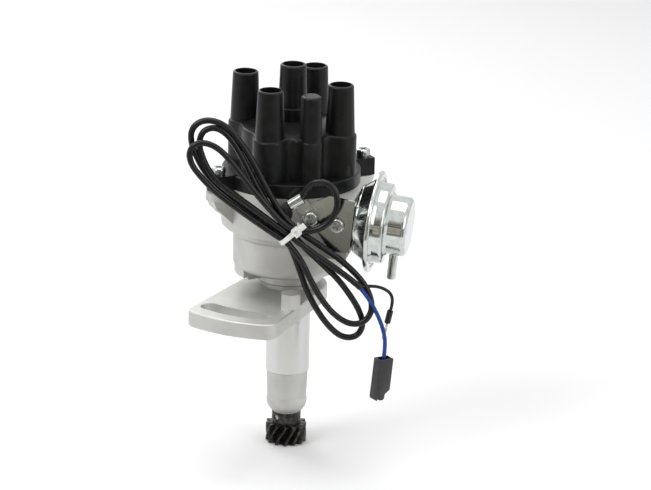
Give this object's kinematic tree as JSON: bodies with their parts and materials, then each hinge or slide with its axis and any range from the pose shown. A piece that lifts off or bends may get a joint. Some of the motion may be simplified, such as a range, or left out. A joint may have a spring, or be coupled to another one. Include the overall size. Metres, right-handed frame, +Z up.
{
  "type": "ignition distributor",
  "caption": "Gear-driven ignition distributor with a towered cap, vacuum advance canister, slotted mounting plate and a tied lead with connector.",
  "frame": {"origin": "on the shaft axis at the underside of the mounting plate, the top of the machined shank", "axes": "+Z up the shaft to the cap's centre tower; +X the way the vacuum canister points"},
  "size_m": [0.1326, 0.1285, 0.2463],
  "materials": {
    "cast_housing": "as-cast aluminium, machined shank",
    "cap_moulding": "black phenolic moulding",
    "zinc_plate": "bright zinc-plated pressed steel",
    "plated_screw": "bright plated screw",
    "oiled_steel": "dark oiled steel gear",
    "ground_steel": "ground steel",
    "mild_steel": "pressed steel plate",
    "spring_steel": "spring steel wire",
    "sintered_bronze": "oil-filled bronze bush",
    "brass": "brass contact",
    "rotor_moulding": "brown phenolic rotor",
    "carbon": "carbon brush",
    "coil_plastic": "black coil former",
    "magnet": "ferrite magnet",
    "seal_rubber": "nitrile rubber",
    "fibre": "fibre washer",
    "lead_sleeve": "black PVC sleeve",
    "blue_wire": "blue PVC insulation",
    "connector": "black nylon connector",
    "tinned": "tinned ring terminal",
    "nylon_tie": "natural nylon tie"
  },
  "bodies": {
    "housing_body": {"housing": "cast_housing", "upper_bush": "sintered_bronze", "lower_bush": "sintered_bronze", "cap_seal": "seal_rubber", "cap": "cap_moulding", "outer_terminals": "brass", "centre_terminal": "brass", "brush_spring": "spring_steel", "cap_screws": "plated_screw", "cap_washers": "plated_screw", "governor_washer": "fibre", "base_plate": "mild_steel", "base_screws": "plated_screw", "vacuum_back_shell": "zinc_plate", "vacuum_front_shell": "zinc_plate", "vacuum_nipple": "zinc_plate", "diaphragm": "seal_rubber", "vacuum_spring": "spring_steel", "vacuum_bracket": "zinc_plate", "lead_clip": "zinc_plate", "bracket_screws": "plated_screw", "pickup_lead": "lead_sleeve", "lead_hank": "lead_sleeve", "cable_tie": "nylon_tie", "blue_lead": "blue_wire", "black_lead": "lead_sleeve", "crimp_sleeve": "lead_sleeve", "ring_terminal": "tinned", "connector_housing": "connector", "lead_grommet": "seal_rubber"},
    "shaft_body": {"drive_shaft": "ground_steel", "drive_gear": "oiled_steel", "gear_pin": "ground_steel", "thrust_washer": "ground_steel", "governor_plate": "mild_steel", "weight_pins": "ground_steel", "spring_posts": "ground_steel", "sleeve_screw": "plated_screw", "governor_springs": "spring_steel"},
    "rotor_body": {"rotor_sleeve": "ground_steel", "reluctor": "mild_steel", "rotor_arm": "rotor_moulding", "rotor_contact": "brass"},
    "weight_body_1": {"governor_weight_1": "mild_steel"},
    "weight_body_2": {"governor_weight_2": "mild_steel"},
    "advance_body": {"advance_plate": "mild_steel", "pickup_core": "mild_steel", "pickup_magnet": "magnet", "pickup_coil": "coil_plastic"},
    "rod_body": {"vacuum_rod": "ground_steel"},
    "brush_body": {"carbon_brush": "carbon"}
  },
  "joints": [
    {"name": "shaft_spin", "type": "hinge", "parent": "housing_body", "child": "shaft_body", "pos_m": [0, 0, 0], "axis": [0, 0, 1], "continuous": true},
    {"name": "centrifugal_advance", "type": "hinge", "parent": "shaft_body", "child": "rotor_body", "pos_m": [0, 0, 0.05], "axis": [0, 0, 1], "range_deg": [0, 11.5], "deforming": ["governor_springs"]},
    {"name": "weight_1_swing", "type": "hinge", "parent": "shaft_body", "child": "weight_body_1", "pos_m": [0.021, 0, 0.038], "axis": [0, 0, 1], "range_deg": [-14, 0]},
    {"name": "weight_2_swing", "type": "hinge", "parent": "shaft_body", "child": "weight_body_2", "pos_m": [-0.021, 0, 0.038], "axis": [0, 0, 1], "range_deg": [-14, 0]},
    {"name": "vacuum_advance", "type": "hinge", "parent": "housing_body", "child": "advance_body", "pos_m": [0, 0, 0.0573], "axis": [0, 0, 1], "range_deg": [0, 10]},
    {"name": "vacuum_rod_slide", "type": "slide", "parent": "housing_body", "child": "rod_body", "axis": [0.9962, 0, -0.0872], "range_m": [0, 0.004], "deforming": ["vacuum_spring", "diaphragm"]},
    {"name": "carbon_brush_slide", "type": "slide", "parent": "housing_body", "child": "brush_body", "axis": [0, 0, 1], "range_m": [-0.0001, 0.0015], "stiffness_N_per_m": 120, "springref_m": -0.002, "deforming": ["brush_spring"]}
  ],
  "couplings": [
    {"joint": "weight_1_swing", "follows": "centrifugal_advance", "ratio": -1.1513},
    {"joint": "weight_2_swing", "follows": "centrifugal_advance", "ratio": -1.1513},
    {"joint": "vacuum_rod_slide", "follows": "vacuum_advance", "m_per_rad": 0.0215}
  ]
}
